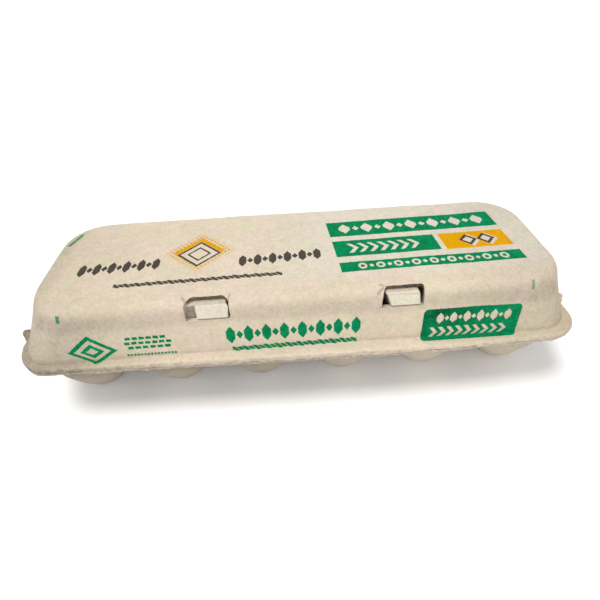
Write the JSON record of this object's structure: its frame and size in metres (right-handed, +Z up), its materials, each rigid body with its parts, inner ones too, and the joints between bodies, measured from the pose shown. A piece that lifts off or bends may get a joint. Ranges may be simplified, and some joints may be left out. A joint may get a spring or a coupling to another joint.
{
  "type": "egg carton",
  "caption": "Shut moulded-pulp egg carton: flat-topped lid on a tray of round cups, with a rim flange, end ears and two locking tabs in front windows.",
  "frame": {"origin": "centre of the bounding box on the plane of the cup feet", "axes": "+X along the carton, -Y towards the front with the two windows, +Y towards the hinge fold, +Z up"},
  "size_m": [0.3078, 0.106, 0.0683],
  "materials": {
    "pulp_lid": "matt moulded pulp with flat green, orange and black print",
    "pulp_tray": "matt moulded pulp, bare and rough",
    "pulp_tab": "matt moulded pulp, bare"
  },
  "bodies": {
    "root": {"lid": "pulp_lid", "tray": "pulp_tray", "latch_tab_left": "pulp_tab", "latch_tab_right": "pulp_tab", "hinge_fold": "pulp_tray"}
  },
  "joints": []
}
